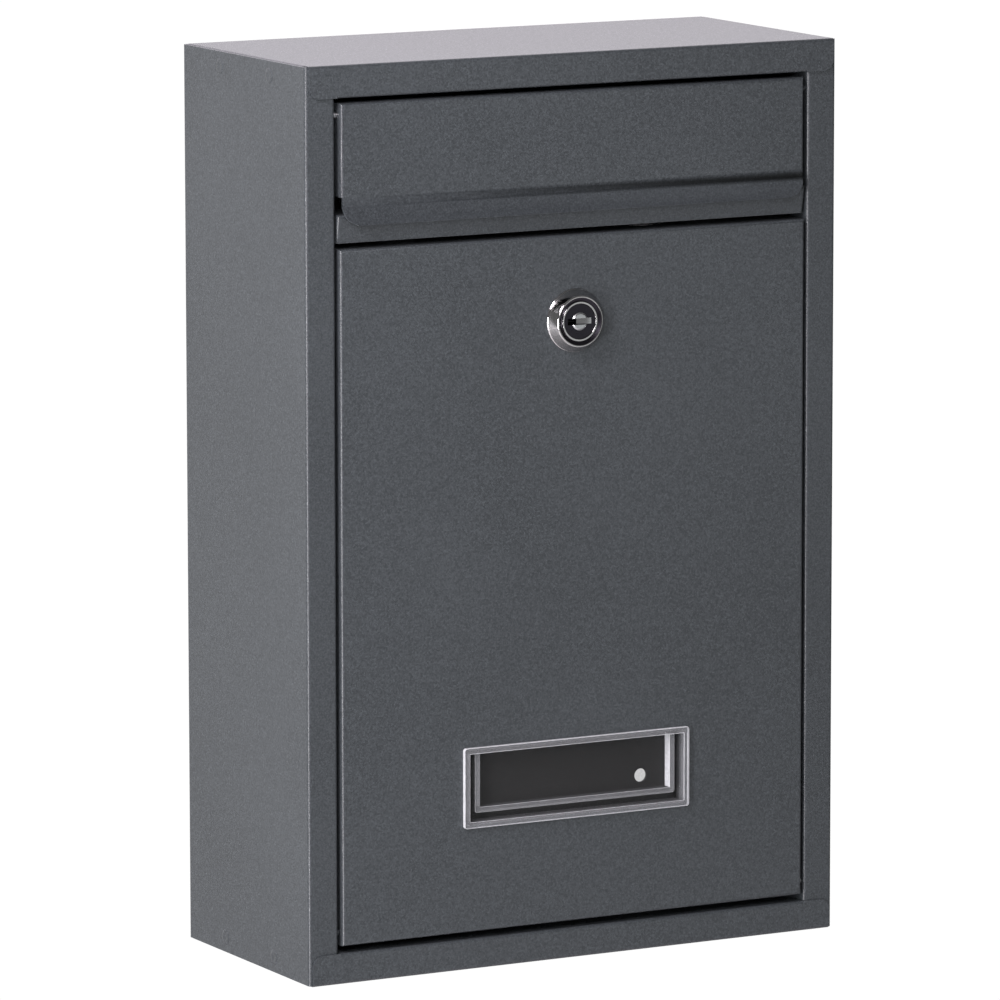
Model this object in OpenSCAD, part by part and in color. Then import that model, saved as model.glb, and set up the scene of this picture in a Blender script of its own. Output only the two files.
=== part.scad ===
// Wall mounted mailbox of folded sheet steel: letter flap above, locking door below.
// Origin: centre of the wall hole pattern on the back face. X right, Y towards the wall, Z up.

/* [Case] */
// Width over the side walls
case_w = 210; // [180:1:260]
// Depth from the wall to the front of the lips
case_d = 95; // [85:1:140]
// Height over the top and bottom panels
case_h = 320; // [290:1:420]
// Thickness of the sheet steel
sheet = 0.8; // [0.7:0.1:1]
// Outer radius of every fold
bend_r = 1.2; // [1.1:0.1:1.3]
// Width of the rim on each side of the front opening
rim_w = 11.5; // [10:0.5:16]
// Depth of the fold that runs back along each side of the opening
return_d = 12; // [10:0.5:16]
// Depth of the wall flanges of the top and bottom panels
pan_flange = 10; // [7:0.5:14]
// Drop of the side walls below the top and bottom faces
wall_drop = 0.3; // [0.2:0.1:0.6]

/* [Lips] */
// Height of the front lip of the top panel
top_lip_h = 11.4; // [9:0.1:16]
// Height of the front lip of the bottom panel
bottom_lip_h = 10.8; // [9:0.1:16]
// Distance of the lip ends from the side walls
lip_inset = 1.3; // [1:0.1:3]
// Radius of the free corners of the lips
lip_corner_r = 4; // [2:0.5:6]
// Depth of the fold behind each lip
lip_return_d = 8; // [5:0.5:10]

/* [Wall holes] */
// Diameter of the four screw holes in the back
wall_hole_d = 5; // [4:0.5:7]
// Distance between the screw holes across the back
wall_hole_span_x = 158; // [100:1:164]
// Distance between the screw holes up the back
wall_hole_span_z = 236; // [150:1:260]

/* [Gaps] */
// Gap at each side of the flap
flap_side_gap = 1.8; // [1.5:0.1:2.5]
// Gap at each side of the door
door_side_gap = 1.3; // [1:0.1:2]
// Gap at each end of the cross bar
bar_side_gap = 0.8; // [0.6:0.1:1.5]
// Gap above the flap
flap_gap = 1.8; // [1.5:0.1:3]
// Gap between the cross bar and the door
bar_gap = 2; // [1.5:0.1:3]
// Gap below the door
door_gap = 2.5; // [2:0.1:4]

/* [Hinges] */
// Diameter of the four hinge pins
pin_d = 2.4; // [2:0.1:2.6]
// Distance of the pin axes behind the flap and door faces
pin_setback = 3.8; // [3.7:0.1:4]
// Distance of the flap pins below the top of the flap
flap_pin_drop = 4.2; // [4:0.1:5]
// Distance of the door pins above the bottom of the door
door_pin_rise = 4.5; // [4:0.1:6]
// Radial clearance of the pins in the flap and the door
pin_clear = 0.08; // [0.04:0.01:0.1]
// Diameter of the pin heads
pin_head_d = 3.6; // [3:0.1:3.6]
// Thickness of the pin heads
pin_head_t = 1; // [0.8:0.1:1.5]
// Length of pin inside the flap and door flanges
pin_tip = 2.2; // [1.5:0.1:3]

/* [Flap] */
// Height of the flat face of the flap
flap_face_h = 35.1; // [30:0.1:45]
// Length of the finger lip below the face
finger_lip = 7.4; // [6:0.1:10]
// Outward lean of the finger lip in degrees
finger_lean = 17; // [10:1:25]
// Corner radius of the finger lip
finger_corner_r = 6.4; // [3:0.1:7]
// Depth of the side flanges of the flap
flap_side_d = 8; // [6:0.5:10]
// Depth of the top flange of the flap
flap_top_d = 5; // [4:0.5:6]
// Height of the side relief above the finger lip
flap_relief = 2.8; // [2:0.1:6]
// Inset of the face edge beside the side relief
relief_inset = 0.6; // [0.3:0.1:1]

/* [Cross bar] */
// Height of the face of the cross bar
bar_h = 9.9; // [8:0.1:14]
// Distance of the bar below the fold of the flap
bar_drop = 3.3; // [2.5:0.1:4]
// Setback of the top of the bar behind the face of the door
bar_setback = 0.4; // [0.4:0.1:1]
// Lean of the face of the bar in degrees
bar_lean = 10; // [0:1:12]
// Distance of the bar rivets behind the door face
bar_rivet_depth = 8; // [6:0.5:9]
// Width of each door stop tab
stop_w = 12; // [8:1:20]
// Distance of each door stop tab from the middle
stop_x = 60; // [40:1:75]
// Overlap of the stop tabs and the door flange
stop_overlap = 4.5; // [3:0.5:6]
// Gap between the stop tabs and the door flange
stop_gap = 0.4; // [0.3:0.1:0.8]
// Diameter of the bar rivets
rivet_d = 3; // [2.4:0.2:3.2]
// Outer diameter of the spacers between bar and case
spacer_d = 6; // [5:0.5:7]

/* [Door] */
// Depth of the flanges round the door
door_flange_d = 18; // [15:0.5:24]
// Distance of the lock below the top of the door
lock_drop = 30; // [26:0.5:60]
// Place of the lock to the right of the middle of the door
lock_x = -0.5; // [-40:0.5:40]

/* [Lock] */
// Diameter of the lock flange on the door
bezel_d = 22.4; // [20:0.2:24]
// Diameter of the front of the lock head
head_d = 18.2; // [17:0.2:18.2]
// Height of the lock head in front of the door
head_h = 4.2; // [3.8:0.1:6]
// Diameter of the threaded barrel
barrel_d = 16; // [15:0.5:17]
// Width of the barrel across its flats
barrel_flats = 13.6; // [12:0.2:14.6]
// Clearance of the barrel in the door
barrel_clear = 0.15; // [0.1:0.05:0.3]
// Diameter of the plug face
plug_face_d = 12.4; // [12:0.2:13.4]
// Diameter of the plug barrel
plug_d = 10; // [9:0.5:11]
// Radial clearance of the plug
plug_clear = 0.06; // [0.03:0.01:0.1]
// Thickness of the cam
cam_t = 1.6; // [1.2:0.2:2]
// Width of the cam
cam_w = 13; // [11:1:15]
// Length of the cam from the lock axis to its tip
cam_l = 38; // [36:0.5:40]
// Gap between the cam and the cross bar
cam_gap = 0.5; // [0.4:0.1:1]
// Width across the flats of the lock nut
nut_flats = 20; // [19:0.5:22]
// Thickness of the lock nut
nut_t = 4; // [3:0.5:5]
// Diameter of the lock washer
washer_d = 22; // [20:0.5:24]
// Thickness of the lock washer
washer_t = 0.8; // [0.6:0.1:1]

/* [Name holder] */
// Width of the name holder
name_w = 90; // [70:1:110]
// Height of the name holder
name_h = 28.5; // [22:0.5:34]
// Height of its centre above the bottom of the door
name_rise = 51.4; // [30:0.5:80]
// Width of its frame round the window
name_frame_w = 2.2; // [2:0.1:3]
// Thickness of its frame in front of the door
name_frame_t = 1.5; // [1:0.1:2]
// Thickness of its collar and pocket
name_wall = 1; // [0.8:0.1:1.1]
// Depth of its collar behind the door face
name_collar_d = 4; // [3:0.5:6]
// Clearance of the collar in the door and of the rib in the collar
name_clear = 0.2; // [0.1:0.05:0.3]
// Distance of the card rib from the window edge
rib_inset = 2.8; // [2:0.1:4]
// Width of the card rib
rib_w = 2; // [1.5:0.1:3]

/* [Hidden] */
$fn = 64;
steel_grey = [0.27, 0.28, 0.30];
bright = [0.72, 0.72, 0.74];
clear = [0.8, 0.82, 0.84, 0.4];
eps = 0.01;
skip = 1;

inner_r = bend_r - sheet;
z_top = case_h / 2;
z_bottom = -case_h / 2;
y_front = -case_d;
y_rim = y_front + sheet;
y_face = y_front;
x_wall = case_w / 2 - sheet;
x_open = case_w / 2 - rim_w;
x_flap = x_open - flap_side_gap;
x_door = x_open - door_side_gap;
x_bar = x_open - bar_side_gap;
lip_half = case_w / 2 - lip_inset;
lip_fold_half = x_open - 0.5;

flap_top = z_top - top_lip_h - flap_gap;
flap_fold = flap_top - flap_face_h;
flap_axis_z = flap_top - flap_pin_drop;
bar_top = flap_fold - bar_drop;
bar_bottom = bar_top - bar_h;
door_top = bar_bottom - bar_gap;
door_bottom = z_bottom + bottom_lip_h + door_gap;
door_axis_z = door_bottom + door_pin_rise;
y_pin = max(y_face + pin_setback, y_rim + bend_r + pin_head_d / 2);

bar_back = door_flange_d + stop_gap;
bar_rivet_y = y_face + bar_rivet_depth;
bar_rivet_z = bar_top - bar_h / 2;
lock_z = door_top - lock_drop;
y_cam = y_face + bar_back + sheet + cam_gap;
thrust_gap = 0.3;
barrel_l = bar_back + sheet + cam_gap - thrust_gap;
bezel_t = 0.6;
bezel_edge = 0.3;
rim_edge = 0.3;
dish = 0.9;
ring_w = 0.7;
ring_drop = 0.4;
face_drop = 0.7;
face_seat = 2;
hub_d = 6.2;
hub_t = 0.5;
slot_w = 9.4;
slot_h = 2.2;
slot_depth = 7;
tang_w = 7;
screw_d = 4;
screw_grip = 6;
screw_head_d = 7;
screw_head_t = 2.6;
cam_washer_d = 9;
name_z = door_bottom + name_rise;
window_w = name_w - 2 * name_frame_w;
window_h = name_h - 2 * name_frame_w;
collar_w = window_w + 2 * name_wall;
collar_h = window_h + 2 * name_wall;

// Rectangle with all four corners rounded.
module soft_rect(x0, x1, y0, y1, r) {
    translate([x0 + r, y0]) square([x1 - x0 - 2 * r, y1 - y0]);
    translate([x0, y0 + r]) square([x1 - x0, y1 - y0 - 2 * r]);
    for (x = [x0 + r, x1 - r], y = [y0 + r, y1 - r]) translate([x, y]) circle(r);
}

// Outline in X and Y, raised from z0 to z1.
module up(z0, z1) { translate([0, 0, z0]) linear_extrude(z1 - z0) children(); }

// Outline in Y and Z, drawn from x0 to x1.
module across(x0, x1) { translate([x0, 0, 0]) rotate([90, 0, 90]) linear_extrude(x1 - x0) children(); }

// Outline in X and Z, drawn from y0 to y1.
module through(y0, y1) { translate([0, y1, 0]) rotate([90, 0, 0]) linear_extrude(y1 - y0) children(); }

// Box between two corners.
module box(lo, hi) { translate(lo) cube(hi - lo); }

// Cylinder along X.
module rod_x(x0, x1, d, y, z) { translate([x0, y, z]) rotate([0, 90, 0]) cylinder(h = x1 - x0, d = d); }

// Cylinder along Y.
module rod_y(y0, y1, d, x, z) { translate([x, y1, z]) rotate([90, 0, 0]) cylinder(h = y1 - y0, d = d); }

// Block whose front edges are rounded, upright ones and level ones alike.
module soft_front(half_w, z0, z1, y0, depth, r) {
    intersection() {
        up(z0, z1) soft_rect(-half_w, half_w, y0, y0 + depth + 2 * r, r);
        across(-half_w, half_w) soft_rect(y0, y0 + depth + 2 * r, z0, z1, r);
        box([-half_w - skip, y0 - skip, z0 - skip], [half_w + skip, y0 + depth, z1 + skip]);
    }
}

// Shallow tray of folded sheet that opens towards the wall.
module tray(half_w, z0, z1, y0, depth) {
    difference() {
        soft_front(half_w, z0, z1, y0, depth, bend_r);
        soft_front(half_w - sheet, z0 + sheet, z1 - sheet, y0 + sheet, depth + skip, inner_r);
    }
}

// Front rim, its return and the first stretch of side wall, on the right.
module rim_section() {
    difference() {
        soft_rect(x_open, case_w / 2, y_rim, y_rim + 3 * return_d, bend_r);
        soft_rect(x_open + sheet, x_wall, y_rim + sheet, y_rim + 4 * return_d, inner_r);
        translate([x_open - skip, y_rim + return_d]) square([rim_w - sheet, 3 * return_d]);
    }
}

// Back and side walls, seen from above.
module wall_section() {
    difference() {
        soft_rect(-case_w / 2, case_w / 2, y_rim, 0, bend_r);
        soft_rect(-x_wall, x_wall, y_rim - return_d, -sheet, inner_r);
        translate([-case_w / 2 - skip, y_rim - skip]) square([case_w + 2 * skip, 2 * return_d + skip]);
    }
}

module case_wrap() {
    color(steel_grey) difference() {
        up(z_bottom + wall_drop, z_top - wall_drop) {
            wall_section();
            rim_section();
            mirror([1, 0]) rim_section();
        }
        // The rims stop short of the top and bottom panels.
        for (side = [0, 1])
            mirror([0, 0, side]) box([-case_w / 2 + bend_r, y_rim - skip, z_top - sheet - wall_drop],
                [case_w / 2 - bend_r, y_rim + return_d + skip, z_top + skip]);
        for (x = [-1, 1], z = [-1, 1])
            rod_y(-sheet - skip, skip, wall_hole_d, x * wall_hole_span_x / 2, z * wall_hole_span_z / 2);
        for (z = [flap_axis_z, door_axis_z])
            for (x = [-x_open - sheet - skip, x_open - skip])
                rod_x(x, x + sheet + 2 * skip, pin_d, y_pin, z);
        for (x = [-x_open - sheet - skip, x_open - skip])
            rod_x(x, x + sheet + 2 * skip, rivet_d, bar_rivet_y, bar_rivet_z);
    }
}

// Lip outline in X and Z with its two free corners rounded.
module lip_outline(z_free) {
    intersection() {
        soft_rect(-lip_half, lip_half, z_free, z_top + 2 * lip_corner_r, lip_corner_r);
        translate([-lip_half, z_free]) square([2 * lip_half, z_top - z_free]);
    }
}

// Side view of the panel with its lip, its fold behind the lip and its plate.
module lid_section(lip_h) {
    difference() {
        soft_rect(y_front, y_front + 4 * lip_h, z_top - lip_h, z_top, bend_r);
        soft_rect(y_front + sheet, y_front + 5 * lip_h, z_top - lip_h + sheet, z_top - sheet, inner_r);
        translate([y_front + lip_return_d, z_top - 2 * lip_h]) square([4 * lip_h, 2 * lip_h - sheet]);
        translate([y_front + 2 * lip_h, z_top - 2 * lip_h]) square([4 * lip_h, 3 * lip_h]);
    }
}

// Block of the plate inside the walls, rounded along every edge that meets them.
module lid_block(inset) {
    half = x_wall - inset;
    low = z_top - 3 * pan_flange;
    intersection() {
        through(y_front, -sheet - inset) soft_rect(-half, half, low, z_top - inset, bend_r - inset);
        across(-half, half) soft_rect(2 * y_front, -sheet - inset, low, z_top - inset, bend_r - inset);
        up(low, z_top) soft_rect(-half, half, 2 * y_front, -sheet - inset, bend_r - inset);
    }
}

// Panel that closes the top of the case, drawn for a lip of any height.
module lid_panel(lip_h) {
    // Plate with side and rear flanges inside the walls.
    difference() {
        lid_block(0);
        lid_block(sheet);
        box([-case_w, y_front - skip, -case_h], [case_w, skip, z_top - pan_flange]);
        box([-case_w, y_front - skip, -case_h], [case_w, y_rim + bend_r, case_h]);
    }
    // Lip with its fold and the front of the plate between the rims.
    across(-lip_fold_half, lip_fold_half) lid_section(lip_h);
    // Plain ends of the lip over the rims.
    intersection() {
        for (x = [-lip_half, lip_fold_half])
            across(x, x + lip_half - lip_fold_half) difference() {
                soft_rect(y_front, y_rim + 4 * bend_r, z_top - 2 * lip_h, z_top, bend_r);
                translate([y_rim, z_top - 3 * lip_h]) square([case_d, 3 * lip_h - sheet]);
            }
        through(y_front - skip, 0) lip_outline(z_top - lip_h);
    }
}

module top_panel() { color(steel_grey) lid_panel(top_lip_h); }

module bottom_panel() { color(steel_grey) mirror([0, 0, 1]) lid_panel(bottom_lip_h); }

// Side view of the cross bar, filled: leaning front, level top and upright rear.
module bar_outline(inset, low) {
    r = bend_r - inset;
    y_fold = y_face + bar_setback + bend_r / tan(45 - bar_lean / 2);
    y_rear = y_face + bar_back + sheet - bend_r;
    z_fold = bar_top - bend_r;
    drop = (z_fold - r * sin(bar_lean) - low) * tan(bar_lean);
    y_flat = y_fold - r * cos(bar_lean);
    polygon([[y_flat + drop, low], [y_flat, z_fold - r * sin(bar_lean)],
        [y_fold, z_fold + r], [y_rear, z_fold + r], [y_rear + r, z_fold], [y_rear + r, low]]);
    for (y = [y_fold, y_rear]) translate([y, z_fold]) circle(r);
}

// Solid bar with its leaning front edges rounded.
module bar_block(inset, low) {
    half = x_bar - inset;
    intersection() {
        across(-half, half) bar_outline(inset, low);
        translate([0, y_face + bar_setback, bar_top]) rotate([bar_lean, 0, 0])
            up(-3 * bar_h, bar_h) soft_rect(-half, half, inset, 3 * bar_back, bend_r - inset);
    }
}

// Channel that opens downwards, closed at both ends, with two door stop tabs on its rear.
module cross_bar() {
    y_rear = y_face + bar_back;
    color(steel_grey) difference() {
        union() {
            difference() {
                bar_block(0, bar_bottom);
                bar_block(sheet, bar_bottom - skip);
            }
            for (x = [-stop_x, stop_x])
                box([x - stop_w / 2, y_rear, door_top - stop_overlap],
                    [x + stop_w / 2, y_rear + sheet, bar_bottom + sheet]);
        }
        for (x = [-x_bar - skip, x_bar - sheet - skip])
            rod_x(x, x + sheet + 2 * skip, rivet_d, bar_rivet_y, bar_rivet_z);
    }
}

// One spacer ring fills the gap at each end of the bar.
module bar_spacers() {
    color(bright) for (x = [-x_open, x_bar])
        difference() {
            rod_x(x, x + bar_side_gap, spacer_d, bar_rivet_y, bar_rivet_z);
            rod_x(x - skip, x + bar_side_gap + skip, rivet_d, bar_rivet_y, bar_rivet_z);
        }
}

module bar_rivet() {
    head_t = rivet_d / 3;
    rod_x(x_bar - sheet, x_open + sheet, rivet_d, bar_rivet_y, bar_rivet_z);
    rod_x(x_bar - sheet - head_t, x_bar - sheet, 2 * rivet_d, bar_rivet_y, bar_rivet_z);
    rod_x(x_open + sheet, x_open + sheet + head_t, 2 * rivet_d, bar_rivet_y, bar_rivet_z);
}

module bar_rivets() {
    color(bright) {
        bar_rivet();
        mirror([1, 0, 0]) bar_rivet();
    }
}

// Headed pin fixed in the right-hand return of the case, its tip in a flange at x_flange.
module hinge_pin(x_flange, z) {
    color(bright) {
        rod_x(x_flange - sheet - pin_tip, x_open + sheet, pin_d, y_pin, z);
        rod_x(x_open + sheet, x_open + sheet + pin_head_t, pin_head_d, y_pin, z);
    }
}

module flap_pin_right() { hinge_pin(x_flap, flap_axis_z); }
module flap_pin_left() { mirror([1, 0, 0]) hinge_pin(x_flap, flap_axis_z); }
module door_pin_right() { hinge_pin(x_door, door_axis_z); }
module door_pin_left() { mirror([1, 0, 0]) hinge_pin(x_door, door_axis_z); }

// Holes through both side flanges of the flap or the door, whose outer faces are at x_flange.
module pin_holes(x_flange, z) {
    for (x = [-x_flange - skip, x_flange - sheet - skip])
        rod_x(x, x + sheet + 2 * skip, pin_d + 2 * pin_clear, y_pin, z);
}

// Finger lip, drawn upright below the fold and then leaned outwards.
module finger_lip_plate() {
    half = x_flap - relief_inset;
    translate([0, y_face + sheet, flap_fold]) rotate([-finger_lean, 0, 0])
        through(-sheet, 0) intersection() {
            soft_rect(-half, half, -finger_lip, 3 * finger_corner_r, finger_corner_r);
            translate([-half, -finger_lip]) square([2 * half, finger_lip]);
        }
}

module flap() {
    ear_end = flap_fold + flap_relief;
    half = x_flap - relief_inset;
    color(steel_grey) difference() {
        union() {
            // Face with side flanges and a shorter top flange.
            difference() {
                tray(x_flap, ear_end - 2 * bend_r - sheet, flap_top, y_face, flap_side_d);
                box([-case_w, y_face - skip, -case_h], [case_w, 0, ear_end]);
                box([-x_flap + bend_r, y_face + flap_top_d, flap_top - bend_r],
                    [x_flap - bend_r, 0, case_h]);
            }
            box([-half, y_face, flap_fold], [half, y_face + sheet, ear_end]);
            finger_lip_plate();
        }
        pin_holes(x_flap, flap_axis_z);
    }
}

// Outline of the lock barrel: a circle with two flats.
module barrel_outline(grow) {
    intersection() {
        circle(d = barrel_d + 2 * grow);
        square([barrel_flats + 2 * grow, 2 * barrel_d], center = true);
    }
}

module door_panel() {
    half_w = collar_w / 2 + name_clear;
    half_h = collar_h / 2 + name_clear;
    color(steel_grey) difference() {
        tray(x_door, door_bottom, door_top, y_face, door_flange_d);
        translate([lock_x, 0, lock_z])
            through(y_face - skip, y_face + sheet + eps) barrel_outline(barrel_clear);
        box([-half_w, y_face - skip, name_z - half_h], [half_w, y_face + sheet + eps, name_z + half_h]);
        pin_holes(x_door, door_axis_z);
    }
}

// Clear frame on the face of the door with its collar through the door.
module name_frame() {
    color(clear) translate([0, y_face, name_z]) difference() {
        union() {
            through(-name_frame_t, 0) soft_rect(-name_w / 2, name_w / 2, -name_h / 2, name_h / 2, 1);
            through(-name_frame_t, name_collar_d)
                square([collar_w, collar_h], center = true);
        }
        through(-name_frame_t - skip, name_collar_d + skip)
            square([window_w, window_h], center = true);
    }
}

// Clear pocket on the collar: a plate with a rib on three sides that holds the name card.
module name_pocket() {
    rib_x = window_w / 2 - rib_inset;
    rib_z = window_h / 2 - rib_inset;
    rib_top = window_h / 2 - name_clear;
    color(clear) translate([0, y_face, name_z]) {
        through(name_collar_d, name_collar_d + name_wall) square([collar_w, collar_h], center = true);
        through(sheet / 2, name_collar_d + eps) difference() {
            soft_rect(-rib_x, rib_x, -rib_z, rib_top + rib_w, rib_w / 2);
            translate([-rib_x + rib_w, -rib_z + rib_w]) square([2 * (rib_x - rib_w), window_h]);
            translate([-rib_x - skip, rib_top]) square([2 * rib_x + 2 * skip, 2 * rib_w]);
        }
    }
}

// Turned body of the lock: conical head with a thin edge and a dished front, barrel with flats, stepped bore.
module lock_body() {
    bore_r = plug_d / 2 + plug_clear;
    face_r = plug_face_d / 2 + plug_clear;
    ring_r = face_r + ring_w;
    color([0.35, 0.35, 0.37]) translate([lock_x, y_face, lock_z]) {
        rotate([90, 0, 0]) rotate_extrude() polygon([
            [bore_r, 0], [bezel_d / 2, 0], [bezel_d / 2, bezel_t - bezel_edge],
            [bezel_d / 2 - bezel_edge, bezel_t], [head_d / 2, head_h - rim_edge],
            [head_d / 2 - rim_edge, head_h], [head_d / 2 - 2 * rim_edge, head_h],
            [ring_r, head_h - dish], [ring_r, head_h - ring_drop], [face_r, head_h - ring_drop],
            [face_r, head_h - face_seat], [bore_r, head_h - face_seat]]);
        difference() {
            through(0, barrel_l) barrel_outline(0);
            rod_y(-skip, barrel_l + skip, 2 * bore_r, 0, 0);
        }
    }
}

// Ring between the door and the nut.
module lock_washer() {
    color(bright) translate([lock_x, y_face + sheet, lock_z]) difference() {
        rod_y(0, washer_t, washer_d, 0, 0);
        rod_y(-skip, washer_t + skip, barrel_d, 0, 0);
    }
}

module lock_nut() {
    color(bright) translate([lock_x, y_face + sheet + washer_t, lock_z]) difference() {
        translate([0, nut_t, 0]) rotate([90, 0, 0]) cylinder(h = nut_t, d = nut_flats / cos(30), $fn = 6);
        rod_y(-skip, nut_t + skip, barrel_d, 0, 0);
    }
}

// Rotating plug: face with hub and key slot, barrel, square tang and tapped end.
module lock_plug() {
    y_plate = -head_h + face_drop;
    color([0.4, 0.4, 0.42]) translate([lock_x, y_face, lock_z]) difference() {
        union() {
            rod_y(y_plate, -head_h + face_seat - thrust_gap, plug_face_d, 0, 0);
            translate([0, y_plate, 0]) rotate([90, 0, 0])
                cylinder(h = hub_t, d1 = hub_d, d2 = hub_d - 2 * hub_t);
            rod_y(y_plate, barrel_l, plug_d, 0, 0);
            through(barrel_l - eps, y_cam - y_face + cam_t) square(tang_w, center = true);
        }
        through(y_plate - skip, y_plate + slot_depth) square([slot_w, slot_h], center = true);
        rod_y(barrel_l - screw_grip, barrel_l + bar_back, screw_d, 0, 0);
    }
}

// Dust shutter behind the key slot.
module key_shutter() {
    color(bright) translate([lock_x, y_face - head_h + face_drop + 0.8, lock_z])
        through(0, 0.5) square([slot_w, slot_h], center = true);
}

// Flat cam that points left when unlocked and up when locked.
module lock_cam() {
    color(bright) translate([lock_x, y_cam, lock_z]) through(0, cam_t) difference() {
        union() {
            circle(d = cam_w);
            translate([-cam_l + cam_w / 2, -cam_w / 2]) square([cam_l - cam_w / 2, cam_w]);
            translate([-cam_l + cam_w / 2, 0]) circle(d = cam_w);
        }
        square(tang_w, center = true);
    }
}

module cam_washer() {
    color(bright) translate([lock_x, y_cam + cam_t, lock_z]) difference() {
        rod_y(0, washer_t, cam_washer_d, 0, 0);
        rod_y(-skip, washer_t + skip, screw_d, 0, 0);
    }
}

// Screw through the washer into the plug, with a cross slot.
module cam_screw() {
    y0 = y_cam + cam_t + washer_t;
    color(bright) translate([lock_x, y0, lock_z]) difference() {
        union() {
            rod_y(0, screw_head_t, screw_head_d, 0, 0);
            rod_y(y_face + barrel_l - screw_grip - y0, 0, screw_d, 0, 0);
        }
        for (turn = [0, 90])
            rotate([0, turn, 0]) box([-2.2, screw_head_t - 1.4, -0.45], [2.2, screw_head_t + skip, 0.45]);
    }
}

case_wrap();
top_panel();
bottom_panel();
cross_bar();
bar_spacers();
bar_rivets();
flap();
flap_pin_left();
flap_pin_right();
door_panel();
door_pin_left();
door_pin_right();
name_frame();
name_pocket();
lock_body();
lock_washer();
lock_nut();
lock_plug();
key_shutter();
lock_cam();
cam_washer();
cam_screw();
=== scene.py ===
import math

import bmesh
import bpy
from mathutils import Matrix, Vector


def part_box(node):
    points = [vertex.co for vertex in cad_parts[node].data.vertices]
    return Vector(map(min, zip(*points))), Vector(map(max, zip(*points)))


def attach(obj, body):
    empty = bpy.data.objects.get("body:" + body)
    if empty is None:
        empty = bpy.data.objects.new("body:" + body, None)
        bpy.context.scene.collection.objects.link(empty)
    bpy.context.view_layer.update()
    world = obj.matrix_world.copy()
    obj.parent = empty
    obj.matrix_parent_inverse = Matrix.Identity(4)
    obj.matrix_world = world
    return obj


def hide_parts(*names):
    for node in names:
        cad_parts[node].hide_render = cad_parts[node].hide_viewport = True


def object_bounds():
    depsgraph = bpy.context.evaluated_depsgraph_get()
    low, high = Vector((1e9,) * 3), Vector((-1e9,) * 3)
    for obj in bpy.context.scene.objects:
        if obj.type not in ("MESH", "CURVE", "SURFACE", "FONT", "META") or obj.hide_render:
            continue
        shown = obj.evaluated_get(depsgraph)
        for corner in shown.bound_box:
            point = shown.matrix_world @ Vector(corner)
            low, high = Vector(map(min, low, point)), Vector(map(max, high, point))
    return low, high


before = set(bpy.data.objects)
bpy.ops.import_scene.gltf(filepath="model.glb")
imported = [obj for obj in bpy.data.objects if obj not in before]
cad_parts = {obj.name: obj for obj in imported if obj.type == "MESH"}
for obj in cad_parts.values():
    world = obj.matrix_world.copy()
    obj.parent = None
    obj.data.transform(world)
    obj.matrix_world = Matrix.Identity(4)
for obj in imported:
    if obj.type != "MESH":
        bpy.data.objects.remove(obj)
cad_low, cad_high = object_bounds()

MM = 0.001
WELD = 0.002 * MM
FLAT_ANGLE = math.radians(0.4)
EDGE_ANGLE = math.radians(38)
TURN = 2 * math.pi
SHEET = 0.8 * MM
COAT_EDGE = 0.16 * MM


class Field:
    """One output of a node. Arithmetic on it adds Math nodes to its tree."""

    def __init__(self, finish, socket):
        self.finish = finish
        self.socket = socket

    def _math(self, operation, first, second):
        return self.finish.node("Math", {"operation": operation}, {0: first, 1: second})

    def __add__(self, other):
        return self._math("ADD", self, other)

    def __radd__(self, other):
        return self._math("ADD", other, self)

    def __sub__(self, other):
        return self._math("SUBTRACT", self, other)

    def __rsub__(self, other):
        return self._math("SUBTRACT", other, self)

    def __mul__(self, other):
        return self._math("MULTIPLY", self, other)

    def __rmul__(self, other):
        return self._math("MULTIPLY", other, self)


class Finish:
    """A material or a world whose nodes are added one call at a time."""

    def __init__(self, owner):
        self.owner = owner
        owner.use_nodes = True
        self.tree = owner.node_tree
        self.tree.nodes.clear()

    def node(self, kind, settings, sockets, out=0):
        """Adds a node: its type, its settings, then the values or links of its sockets."""
        made = self.tree.nodes.new("ShaderNode" + kind)
        for name, value in settings.items():
            if name == "stops":
                self._stops(made.color_ramp, value)
            else:
                setattr(made, name, value)
        for name, value in sockets.items():
            if isinstance(value, Field):
                self.tree.links.new(value.socket, made.inputs[name])
            else:
                made.inputs[name].default_value = value
        return Field(self, made.outputs[out]) if made.outputs else None

    def _stops(self, ramp, stops):
        while len(ramp.elements) < len(stops):
            ramp.elements.new(0.5)
        for element, (position, grey) in zip(ramp.elements, stops):
            element.position = position
            element.color = (grey, grey, grey, 1)

    def noise(self, place, scale, detail):
        return self.node("TexNoise", {}, {"Vector": place, "Scale": scale, "Detail": detail})

    def step(self, value, low, high):
        """0 below low, 1 above high, and a ramp between them."""
        return self.node("ValToRGB", {"stops": [(low, 0), (high, 1)]}, {"Fac": value})

    def blend(self, share, first, second):
        sockets = {0: share, 6: (*first, 1), 7: (*second, 1)}
        return self.node("Mix", {"data_type": "RGBA"}, sockets, out=2)

    def surface(self, sockets):
        shader = self.node("BsdfPrincipled", {}, sockets)
        self.node("OutputMaterial", {}, {"Surface": shader})
        return self.owner


def new_finish(name):
    finish = Finish(bpy.data.materials.new(name))
    return finish, finish.node("TexCoord", {}, {}, out="Object")


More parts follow.
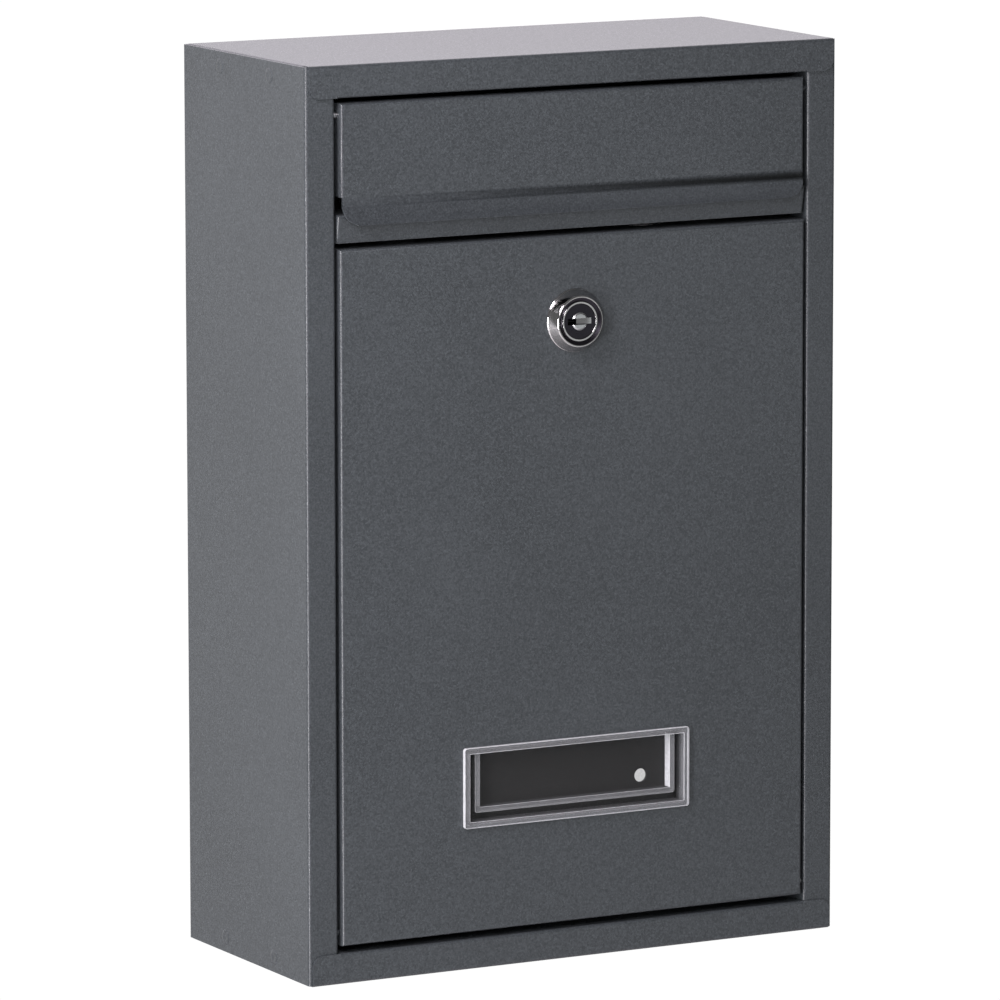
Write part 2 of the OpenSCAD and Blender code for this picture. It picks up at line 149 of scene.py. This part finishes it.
def powder_coat(name, deep, pale):
    """Fine-grained powder coat: a grainy skin over a low ripple, with a few brighter grains."""
    finish, place = new_finish(name)
    grain = finish.noise(place, 1500.0, 1.0)
    ripple = finish.noise(place, 500.0, 1.0)
    cloud = finish.noise(place, 11.0, 3.0)
    flecks = finish.step(finish.noise(place, 1700.0, 0.0), 0.64, 0.74)
    share = (grain - 0.5) * 1.9 + (cloud - 0.5) * 0.6 + flecks * 0.8 + 0.42
    return finish.surface({
        "Base Color": finish.blend(share, deep, pale),
        "Roughness": 0.42 + (ripple - 0.5) * 0.10 - flecks * 0.14,
        "Coat Weight": 0.30,
        "Coat Roughness": 0.22,
        "Normal": finish.node("Bump", {}, {
            "Strength": 1.0,
            "Distance": 0.09 * MM,
            "Height": grain * 0.7 + ripple * 0.3,
        }, out="Normal"),
    })


def plated_steel(name, deep, pale, rough, spread):
    """Plated metal with faint clouding, hairline streaks and small changes of gloss."""
    finish, place = new_finish(name)
    stretched = finish.node("Mapping", {}, {"Vector": place, "Scale": (1.0, 14.0, 14.0)})
    streaks = finish.noise(stretched, 240.0, 3.0)
    cloud = finish.noise(place, 260.0, 3.0)
    return finish.surface({
        "Base Color": finish.blend(cloud * 0.7 + streaks * 0.3, deep, pale),
        "Metallic": 1.0,
        "Roughness": rough + (cloud - 0.5) * spread + (streaks - 0.5) * spread,
        "Normal": finish.node("Bump", {}, {
            "Strength": 0.4,
            "Distance": 0.006 * MM,
            "Height": streaks + cloud * 0.4,
        }, out="Normal"),
    })


def clear_plastic(name, tint, cover, gain):
    """Moulded clear plastic whose pale colour grows more opaque where it is seen at a low angle, as
    painted reflection, with fine flow marks.
    """
    finish, place = new_finish(name)
    marks = finish.noise(place, 900.0, 2.0)
    flow = finish.noise(place, 90.0, 2.0)
    glance = finish.node("Fresnel", {}, {"IOR": 1.49})
    return finish.surface({
        "Base Color": finish.blend(marks, tuple(0.86 * c for c in tint), tint),
        "Roughness": 0.08 + marks * 0.12,
        "IOR": 1.49,
        # Alpha rises with the Fresnel term: painted reflection at low angles.
        "Alpha": cover + glance * gain + (marks - 0.5) * cover * 0.5,
        "Normal": finish.node("Bump", {}, {
            "Strength": 0.5,
            "Distance": 0.02 * MM,
            "Height": flow + marks * 0.2,
        }, out="Normal"),
    })


COAT = powder_coat("anthracite_coat", (0.031, 0.036, 0.040), (0.064, 0.073, 0.080))
ZINC = plated_steel("zinc_plate", (0.52, 0.53, 0.54), (0.74, 0.75, 0.76), 0.30, 0.18)
CHROME = plated_steel("lock_nickel", (0.50, 0.49, 0.49), (0.66, 0.65, 0.65), 0.07, 0.05)
BRIGHT = plated_steel("bright_nickel", (0.78, 0.78, 0.80), (0.92, 0.92, 0.93), 0.16, 0.10)
# Dark finish: the plug's dark face, and painted shade in the lock's dished groove.
DARK_NICKEL_AND_GROOVE_SHADE = plated_steel("dark_nickel_and_groove_shade", (0.028, 0.026, 0.032), (0.060, 0.056, 0.068), 0.30, 0.16)
PALE_PLASTIC = (0.62, 0.64, 0.67)
BAND = clear_plastic("clear_plastic_band", PALE_PLASTIC, 0.21, 0.5)
WALL = clear_plastic("clear_plastic_wall", PALE_PLASTIC, 0.04, 0.3)
# The next two finishes are pale and more opaque than the band: painted highlight on rounded edges and on
# the lit side of the rib.
PAINTED_HIGHLIGHT = clear_plastic("clear_plastic_painted_highlight", (0.88, 0.90, 0.93), 0.72, 0.3)
PAINTED_RIB_HIGHLIGHT = clear_plastic("clear_plastic_painted_rib_highlight", (0.80, 0.82, 0.85), 0.42, 0.4)
WINDOW = clear_plastic("clear_window", (0.075, 0.075, 0.076), 0.26, 0.3)


def add_piece(name, mesh, finishes, body, node):
    """Puts a mesh in the scene as a piece that stands for a CAD node and moves with its body."""
    piece = bpy.data.objects.new(name, mesh)
    bpy.context.scene.collection.objects.link(piece)
    for finish in finishes:
        mesh.materials.append(finish)
    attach(piece, body)
    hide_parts(node)
    return piece


def welded(node):
    """The closed solid of a CAD node, with each flat face as one polygon."""
    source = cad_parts[node].data
    work = bmesh.new()
    points = [work.verts.new(v.co) for v in source.vertices]
    for polygon in source.polygons:
        work.faces.new([points[i] for i in polygon.vertices])
    bmesh.ops.remove_doubles(work, verts=work.verts, dist=WELD)
    bmesh.ops.dissolve_limit(work, angle_limit=FLAT_ANGLE, verts=work.verts, edges=work.edges)
    bmesh.ops.recalc_face_normals(work, faces=work.faces)
    return work


def soften_edges(work, width, steps):
    """Rounds each sharp edge; the new faces take the finish of the faces beside them."""
    sharp = [e for e in work.edges if e.is_manifold and e.calc_face_angle() > EDGE_ANGLE]
    bmesh.ops.bevel(
        work, geom=sharp, offset=width, segments=steps, profile=0.5, affect="EDGES",
        offset_type="OFFSET", clamp_overlap=True, loop_slide=True, material=-1,
    )


def shade_evenly(piece):
    """Keeps flat faces flat in shading beside their rounded edges."""
    even = piece.modifiers.new("even_shading", "WEIGHTED_NORMAL")
    even.weight = 60


def to_mesh(name, work, choose=None):
    """Turns the work into a smooth mesh; choose gives a face its finish from its middle."""
    if choose:
        for face in work.faces:
            face.material_index = choose(face)
    mesh = bpy.data.meshes.new(name)
    work.to_mesh(mesh)
    work.free()
    mesh.shade_smooth()
    return mesh


def finished_part(name, node, finishes, body, width, steps=2, choose=None):
    """A copy of a CAD node whose cut edges are rounded as plating or coating leaves them."""
    work = welded(node)
    if choose:
        for face in work.faces:
            face.material_index = choose(face)
    soften_edges(work, width, steps)
    shade_evenly(add_piece(name, to_mesh(name, work), finishes, body, node))


def rounded_corners(points, radius, steps=3, looped=False):
    """The points of an outline with each corner replaced by a small arc."""
    made = []
    count = len(points)
    for i, point in enumerate(points):
        if not looped and i in (0, count - 1):
            made.append(point)
            continue
        corner = Vector(point)
        before = Vector(points[i - 1]) - corner
        after = Vector(points[(i + 1) % count]) - corner
        start = corner + before.normalized() * min(radius, 0.45 * before.length)
        end = corner + after.normalized() * min(radius, 0.45 * after.length)
        for k in range(steps + 1):
            t = k / steps
            made.append(tuple(start * (1 - t) ** 2 + corner * 2 * t * (1 - t) + end * t ** 2))
    return made


def turned(rows, centre, axis, segments=96, looped=False, shape=None):
    """A solid of rings about an axis; a row is a radius, or a rule for it, and a place along the axis."""
    work = bmesh.new()
    rings = []
    for radius, along in rows:
        if radius == 0:
            ring = [work.verts.new(oriented(centre, axis, 0, 0, along))]
        else:
            ring = []
            for k in range(segments):
                angle = TURN * k / segments
                reach = radius(angle, along) if callable(radius) else radius
                a, b = reach * math.cos(angle), reach * math.sin(angle)
                if shape:
                    a, b = shape(a, b, along)
                ring.append(work.verts.new(oriented(centre, axis, a, b, along)))
        rings.append(ring)
    pairs = list(zip(rings, rings[1:]))
    if looped:
        pairs.append((rings[-1], rings[0]))
    for one, two in pairs:
        for k in range(segments):
            m = (k + 1) % segments
            if len(one) == 1:
                work.faces.new([one[0], two[k], two[m]])
            elif len(two) == 1:
                work.faces.new([one[k], one[m], two[0]])
            else:
                work.faces.new([one[k], one[m], two[m], two[k]])
    bmesh.ops.recalc_face_normals(work, faces=work.faces)
    return work


def oriented(centre, axis, a, b, along):
    """The point at a and b across an axis and a length along it."""
    if axis == "X":
        return centre + Vector((along, a, b))
    return centre + Vector((a, along, b))


def turned_piece(name, work, finishes, body, node, choose=None):
    """A piece that is already modelled; its sharp edges stay sharp in shading."""
    mesh = to_mesh(name, work, choose)
    mesh.set_sharp_from_angle(angle=EDGE_ANGLE)
    add_piece(name, mesh, finishes, body, node)


def join(whole, part):
    """Adds one work to another and frees it."""
    mesh = bpy.data.meshes.new("part")
    part.to_mesh(mesh)
    part.free()
    whole.from_mesh(mesh)
    bpy.data.meshes.remove(mesh)


def middle(node):
    low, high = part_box(node)
    return (low + high) / 2


# Folded sheet parts with their coating.
SHEETS = {
    "case_shell": ("case_wrap", "case"),
    "top_cover": ("top_panel", "case"),
    "bottom_cover": ("bottom_panel", "case"),
    "bar_channel": ("cross_bar", "case"),
    "letter_flap": ("flap", "flap"),
    "door_leaf": ("door_panel", "door"),
}
for name, (node, body) in SHEETS.items():
    finished_part(name, node, [COAT], body, COAT_EDGE)


# Hinge pins.
PIN_R = 1.2 * MM
PIN_HEAD_T = 1 * MM


def hinge_pin(node, side, finish):
    """A domed head behind the return, a plain shank and a rounded tip."""
    low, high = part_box(node)
    centre = middle(node)
    head_r = (high.z - low.z) / 2
    end = (high.x - low.x) / 2
    outline = rounded_corners([
        (0, -end), (PIN_R, -end), (PIN_R, end - PIN_HEAD_T), (head_r, end - PIN_HEAD_T),
        (head_r, end - PIN_HEAD_T / 2), (0, end),
    ], 0.35 * MM)
    rows = [(r, side * along) for r, along in outline]
    work = turned(rows, centre, "X", 48)
    turned_piece(node.replace("_pin", "_hinge_pin"), work, [finish], "case", node)


# The pins that are put in before the case is coated are as dark as the case.
hinge_pin("flap_pin_left", -1, ZINC)
hinge_pin("flap_pin_right", 1, COAT)
hinge_pin("door_pin_left", -1, COAT)
hinge_pin("door_pin_right", 1, ZINC)


# Rivets and spacers that carry the cross bar.
def bar_fixings():
    """Two rivets with domed heads on both ends, each through a spacer in the side gap."""
    low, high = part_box("bar_rivets")
    head_r = (high.z - low.z) / 2
    rivet_r = head_r / 2
    head = rivet_r * 2 / 3
    rivets = bmesh.new()
    spacers = bmesh.new()
    gap_low, gap_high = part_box("bar_spacers")
    gap = gap_high.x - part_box("cross_bar")[1].x
    grip = gap + 2 * SHEET
    for side in (-1, 1):
        outer = high.x if side > 0 else -low.x
        centre = middle("bar_rivets")
        centre.x = side * outer
        outline = rounded_corners([
            (0, 0), (head_r * 0.62, -0.12 * MM), (head_r, -head * 0.62), (head_r, -head), (rivet_r, -head),
            (rivet_r, -head - grip), (head_r, -head - grip), (head_r, -head * 1.38 - grip),
            (head_r * 0.62, -2 * head - grip + 0.12 * MM), (0, -2 * head - grip),
        ], 0.3 * MM)
        join(rivets, turned([(r, side * a) for r, a in outline], centre, "X", 48))
        outer = gap_high.x if side > 0 else -gap_low.x
        centre.x = side * outer
        ring = rounded_corners([
            (head_r * 0.5, 0), (head_r, 0), (head_r, -gap), (head_r * 0.5, -gap),
        ], 0.2 * MM, looped=True)
        join(spacers, turned([(r, side * a) for r, a in ring], centre, "X", 48, looped=True))
    turned_piece("bar_rivet_pair", rivets, [ZINC], "case", "bar_rivets")
    turned_piece("bar_spacer_pair", spacers, [ZINC], "case", "bar_spacers")


bar_fixings()


# Lock: turned body with a threaded barrel, washer, nut, plug, shutter, cam and screw.
lock_low, lock_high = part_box("lock_body")
door_low, door_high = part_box("door_panel")
lock_centre = Vector((middle("lock_body").x, door_low.y, middle("lock_body").z))
plug_low, plug_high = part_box("lock_plug")
PLUG_CLEAR = 0.06 * MM
BORE_R = 5 * MM + PLUG_CLEAR
FACE_R = (plug_high.x - plug_low.x) / 2 + PLUG_CLEAR
RING_R = FACE_R + 0.7 * MM
HEAD_R = 9.1 * MM
HEAD_H = lock_centre.y - lock_low.y
HUB_R = 3.3 * MM
FACE_DROP = 0.7 * MM
BARREL_R = 8.0 * MM
BARREL_FLAT = 6.8 * MM
THREAD_PITCH = 1.0 * MM
THREAD_DEPTH = 0.45 * MM


def thread(radius):
    """Radius of a screw thread that climbs once a turn."""
    def rule(angle, along):
        phase = (along / THREAD_PITCH + angle / TURN) % 1.0
        return radius - THREAD_DEPTH * abs(2 * phase - 1)
    return rule


def lock_body():
    """Conical head with a thin edge and a dished groove in painted shade, and a threaded barrel with two
    flats.
    """
    length = lock_high.y - lock_centre.y
    flange_r = (lock_high.x - lock_low.x) / 2
    head = rounded_corners([
        (BORE_R, 0), (flange_r, 0), (flange_r, -0.3 * MM), (flange_r - 0.3 * MM, -0.6 * MM),
        (HEAD_R, -HEAD_H + 0.3 * MM), (HEAD_R - 0.3 * MM, -HEAD_H), (HEAD_R - 0.6 * MM, -HEAD_H),
        (RING_R, -HEAD_H + 0.9 * MM), (RING_R, -HEAD_H + 0.4 * MM), (FACE_R, -HEAD_H + 0.4 * MM),
        (FACE_R, -HEAD_H + 2 * MM), (BORE_R, -HEAD_H + 2 * MM),
    ], 0.14 * MM, looped=True)
    work = turned(head, lock_centre, "Y", 128, looped=True)
    rows = [(BORE_R, 0.02 * MM), (BARREL_R - THREAD_DEPTH, 0.02 * MM)]
    steps = int(length / THREAD_PITCH * 6)
    first = 1.2 * MM
    for k in range(steps + 1):
        along = first + (length - first - 0.3 * MM) * k / steps
        rows.append((thread(BARREL_R), along))
    rows += [(BARREL_R - THREAD_DEPTH, length), (BORE_R, length)]

    def flats(a, b, along):
        return max(-BARREL_FLAT, min(BARREL_FLAT, a)), b

    join(work, turned(rows, lock_centre, "Y", 96, looped=True, shape=flats))

    def finish_of(face):
        spot = face.calc_center_median() - lock_centre
        reach = math.hypot(spot.x, spot.z)
        # The dished groove between the rim and the ring takes the dark finish as painted shade.
        if RING_R < reach < HEAD_R - 0.7 * MM and spot.y < -2 * MM:
            return 1
        return 0

    turned_piece("lock_case", work, [CHROME, DARK_NICKEL_AND_GROOVE_SHADE], "door", "lock_body", finish_of)


def ring_piece(name, node, inner, body, width=0.15 * MM):
    """A washer: a flat ring with rolled edges."""
    low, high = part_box(node)
    outer = (high.x - low.x) / 2
    thick = high.y - low.y
    centre = middle(node)
    centre.y = low.y
    rows = rounded_corners([(inner, 0), (outer, 0), (outer, thick), (inner, thick)], width, looped=True)
    work = turned(rows, centre, "Y", 96, looped=True)
    turned_piece(name, work, [ZINC], body, node)


def lock_nut():
    """Six-sided nut with turned corners and a countersunk thread."""
    node = "lock_nut"
    low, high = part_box(node)
    flat_r = (high.z - low.z) / 2
    thick = high.y - low.y
    centre = middle(node)
    centre.y = low.y
    chamfer = 0.9 * MM
    sixth = TURN / 6

    def six_sided(limit):
        def rule(angle, along):
            near = (angle + sixth / 2) % sixth - sixth / 2
            return min(flat_r / math.cos(near - sixth / 2 if near > 0 else near + sixth / 2), limit)
        return rule

    sink = 0.5 * MM
    face = [(six_sided(flat_r * 0.97 + k / 4 * chamfer * 2), k / 4 * chamfer) for k in range(5)]
    rows = [(BARREL_R, sink), (BARREL_R + sink, 0), *face]
    rows += [(reach, thick - along) for reach, along in reversed(face)]
    rows += [(BARREL_R + sink, thick), (BARREL_R, thick - sink)]
    work = turned(rows, centre, "Y", 144, looped=True)
    turned_piece("lock_hex_nut", work, [ZINC], "door", node)


def lock_plug():
    """Plug with softened edges: dark face, pale hub round the key slot, plated barrel."""
    face_y = -HEAD_H + FACE_DROP

    def finish_of(face):
        spot = face.calc_center_median() - lock_centre
        reach = math.hypot(spot.x, spot.z)
        in_hub = spot.y < face_y - 0.01 * MM and reach < HUB_R
        return 1 if in_hub or spot.y > 0 else 0

    finished_part(
        "plug_face", "lock_plug", [DARK_NICKEL_AND_GROOVE_SHADE, ZINC], "lock_cylinder",
        0.1 * MM, choose=finish_of,
    )


def key_shutter():
    """Bright curved spring leaf that fills the right half of the key slot."""
    low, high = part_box("key_shutter")
    leaf_t = (high.y - low.y) * 0.3
    work = bmesh.new()
    columns = 14
    start = low.x + (high.x - low.x) * 0.42
    front, back = [], []
    for k in range(columns + 1):
        t = k / columns
        x = start + (high.x - 0.05 * MM - start) * t
        dip = 0.35 * MM * (1 - t) ** 2 - 0.55 * MM * t
        for store, y in ((front, low.y + dip), (back, low.y + dip + leaf_t)):
            store.append([
                work.verts.new((x, y, z)) for z in (low.z + 0.06 * MM, high.z - 0.06 * MM)
            ])
    for side, flip in ((front, False), (back, True)):
        for one, two in zip(side, side[1:]):
            loop = [one[0], two[0], two[1], one[1]]
            work.faces.new(loop[::-1] if flip else loop)
    for k in range(columns):
        for j in (0, 1):
            work.faces.new([front[k][j], front[k + 1][j], back[k + 1][j], back[k][j]])
    for k in (0, columns):
        work.faces.new([front[k][0], front[k][1], back[k][1], back[k][0]])
    bmesh.ops.recalc_face_normals(work, faces=work.faces)
    turned_piece("shutter_leaf", work, [BRIGHT], "lock_cylinder", "key_shutter")


lock_body()
ring_piece("lock_flat_washer", "lock_washer", BARREL_R, "door")
lock_nut()
lock_plug()
key_shutter()
finished_part("cam_plate", "lock_cam", [ZINC], "lock_cylinder", 0.2 * MM, steps=3)
ring_piece("cam_flat_washer", "cam_washer", 2 * MM, "lock_cylinder")
finished_part("cam_cross_screw", "cam_screw", [ZINC], "lock_cylinder", 0.25 * MM, steps=3)


# Name holder: clear frame and pocket. Their rounded edges and the left-facing side of the right rib get a
# paler, more opaque finish as painted highlight.
def holder_part(name, node, rule, width):
    """A clear part; the rule gives a face its finish once the edges are rounded."""
    work = welded(node)
    soften_edges(work, width, 3)
    finishes = [BAND, WALL, PAINTED_HIGHLIGHT, PAINTED_RIB_HIGHLIGHT, WINDOW]
    shade_evenly(add_piece(name, to_mesh(name, work, rule), finishes, "door", node))


frame_low, frame_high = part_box("name_frame")
pocket_low, pocket_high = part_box("name_pocket")
ON_BAND, ON_WALL, ON_PAINTED_HIGHLIGHT, ON_PAINTED_RIB_HIGHLIGHT, ON_WINDOW = range(5)


def frame_finish(face):
    """The front is the band, its rounded edges get a painted highlight, and the rest is clear wall."""
    spot = face.calc_center_median()
    depth = spot.y - frame_low.y
    if depth > 1.45 * MM:
        return ON_WALL
    if depth < 0.01 * MM:
        return ON_BAND
    inset = min(spot.x - frame_low.x, frame_high.x - spot.x, spot.z - frame_low.z, frame_high.z - spot.z)
    if inset < 0.3 * MM or depth < 0.25 * MM:
        return ON_PAINTED_HIGHLIGHT
    return ON_WALL


def pocket_finish(face):
    """The back is the window, the front of the rib is a band, its rounded edges get a paler painted
    highlight, and the left-facing side of the right rib gets a painted highlight.
    """
    spot = face.calc_center_median()
    if spot.y > pocket_high.y - 1.3 * MM:
        return ON_WINDOW if abs(face.normal.y) > 0.9 else ON_WALL
    if face.normal.x < -0.7 and spot.x > 0:
        return ON_PAINTED_HIGHLIGHT
    if spot.y < pocket_low.y + 0.2 * MM:
        return ON_BAND if face.normal.y < -0.98 else ON_PAINTED_RIB_HIGHLIGHT
    return ON_WALL


HOLDER_EDGE = 0.16 * MM
holder_part("holder_frame", "name_frame", frame_finish, HOLDER_EDGE)
holder_part("holder_pocket", "name_pocket", pocket_finish, HOLDER_EDGE)


# Spot welds that join the top and bottom panels to the side walls show as shallow marks.
WELD_PROFILE = [
    (0, 0.02), (0.7, 0.04), (1.3, 0.11), (1.8, 0.14), (2.3, 0.08), (2.8, 0.01), (3.0, -0.2), (0, -0.2),
]
WELDS_FROM_FRONT = (28 * MM, 66 * MM)
WELDS_FROM_END = 5.5 * MM


def weld_marks():
    """Each mark is a low ring with a dip in its middle."""
    marks = bmesh.new()
    for side in (-1, 1):
        for z in (cad_high.z - WELDS_FROM_END, cad_low.z + WELDS_FROM_END):
            for y in WELDS_FROM_FRONT:
                centre = Vector((side * cad_high.x, door_low.y + y, z))
                outline = [(r * MM, side * a * MM) for r, a in WELD_PROFILE]
                join(marks, turned(outline, centre, "X", 40))
    mesh = to_mesh("weld_marks", marks)
    mesh.materials.append(COAT)
    piece = bpy.data.objects.new("weld_marks", mesh)
    bpy.context.scene.collection.objects.link(piece)
    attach(piece, "case")


weld_marks()


# Camera.
CAMERA_PLACE = Vector((-1.3058, -2.4595, 0.4282))
CAMERA_YAW = math.radians(28.346)
CAMERA_PITCH = math.radians(8.943)
CAMERA_ROLL = math.radians(-0.066)
CAMERA_LENS = 281.86


def add_camera():
    sight = Vector((
        math.sin(CAMERA_YAW) * math.cos(CAMERA_PITCH),
        math.cos(CAMERA_YAW) * math.cos(CAMERA_PITCH),
        -math.sin(CAMERA_PITCH),
    ))
    level = Vector((math.cos(CAMERA_YAW), -math.sin(CAMERA_YAW), 0))
    rise = level.cross(sight)
    right = level * math.cos(CAMERA_ROLL) + rise * math.sin(CAMERA_ROLL)
    up = rise * math.cos(CAMERA_ROLL) - level * math.sin(CAMERA_ROLL)
    data = bpy.data.cameras.new("camera")
    data.sensor_width = 36
    data.lens = CAMERA_LENS
    data.clip_end = 50
    camera = bpy.data.objects.new("camera", data)
    turn = Matrix((right, up, -sight)).transposed()
    camera.matrix_world = Matrix.Translation(CAMERA_PLACE) @ turn.to_4x4()
    bpy.context.scene.collection.objects.link(camera)
    bpy.context.scene.camera = camera


add_camera()


# Floor, world and lights.
FLOOR_R = 1.3
FLOOR_DROP = 0.35
FRONT_DIM = 0.14


def add_floor():
    """A round pale floor well below the case, which hangs on its wall."""
    work = bmesh.new()
    bmesh.ops.create_circle(work, cap_ends=True, segments=96, radius=FLOOR_R)
    mesh = bpy.data.meshes.new("floor")
    work.to_mesh(mesh)
    work.free()
    floor = bpy.data.objects.new("floor", mesh)
    floor.location.z = cad_low.z - FLOOR_DROP
    bpy.context.scene.collection.objects.link(floor)
    finish, place = new_finish("pale_floor")
    cloud = finish.noise(place, 3.0, 2.0)
    mesh.materials.append(finish.surface({
        "Base Color": finish.blend(cloud, (0.62, 0.62, 0.62), (0.66, 0.66, 0.66)),
        "Roughness": 0.8,
    }))


def add_world():
    """Studio: white behind the case, brightest above it, and dim in front, where softboxes stand."""
    world = bpy.data.worlds.new("studio")
    bpy.context.scene.world = world
    studio = Finish(world)
    direction = studio.node("TexCoord", {}, {}, out="Generated")
    side, back, rise = (studio.node("SeparateXYZ", {}, {"Vector": direction}, out=axis) for axis in "XYZ")

    def band(value, low, high):
        limits = {"Value": value, "From Min": low, "From Max": high, "To Min": 0.0, "To Max": 1.0}
        return studio.node("MapRange", {}, limits)

    above = band(back, 0.0, 0.9) * band(rise, -0.1, 0.3)
    white = 0.48 + band(side, -0.4, 0.1) * 0.40
    strength = FRONT_DIM + band(back, 0.0, 0.5) * white + above * 0.5
    tint = studio.blend(above, (1, 1, 1), (1.0, 0.93, 1.03))
    background = studio.node("Background", {}, {"Color": tint, "Strength": strength})
    studio.node("OutputWorld", {}, {"Surface": background})


def add_light(name, place, size, power, colour):
    """A softbox aimed at the middle of the case."""
    data = bpy.data.lights.new(name, "AREA")
    data.shape = "RECTANGLE"
    data.size, data.size_y = size
    data.energy = power
    data.color = colour
    light = bpy.data.objects.new(name, data)
    light.location = place
    light.rotation_euler = (LIGHT_AIM - Vector(place)).to_track_quat("-Z", "Y").to_euler()
    light.visible_camera = False
    bpy.context.scene.collection.objects.link(light)


add_floor()
add_world()
LIGHT_AIM = Vector((-0.05, -0.08, 0.02))
add_light("left_softbox", (-0.62, -0.42, 0.62), (0.30, 0.30), 7.0, (1.0, 0.93, 0.98))
add_light("front_softbox", (-0.45, -0.75, 0.40), (0.30, 0.30), 3.5, (1.0, 0.94, 0.98))
add_light("fold_strip", (-0.905, -0.574, -0.136), (0.14, 0.60), 7.0, (1.0, 0.97, 1.0))
add_light("right_card", (0.70, -1.40, -0.20), (0.60, 0.90), 0.8, (0.96, 1.0, 1.0))
bpy.context.scene.view_settings.view_transform = "Standard"
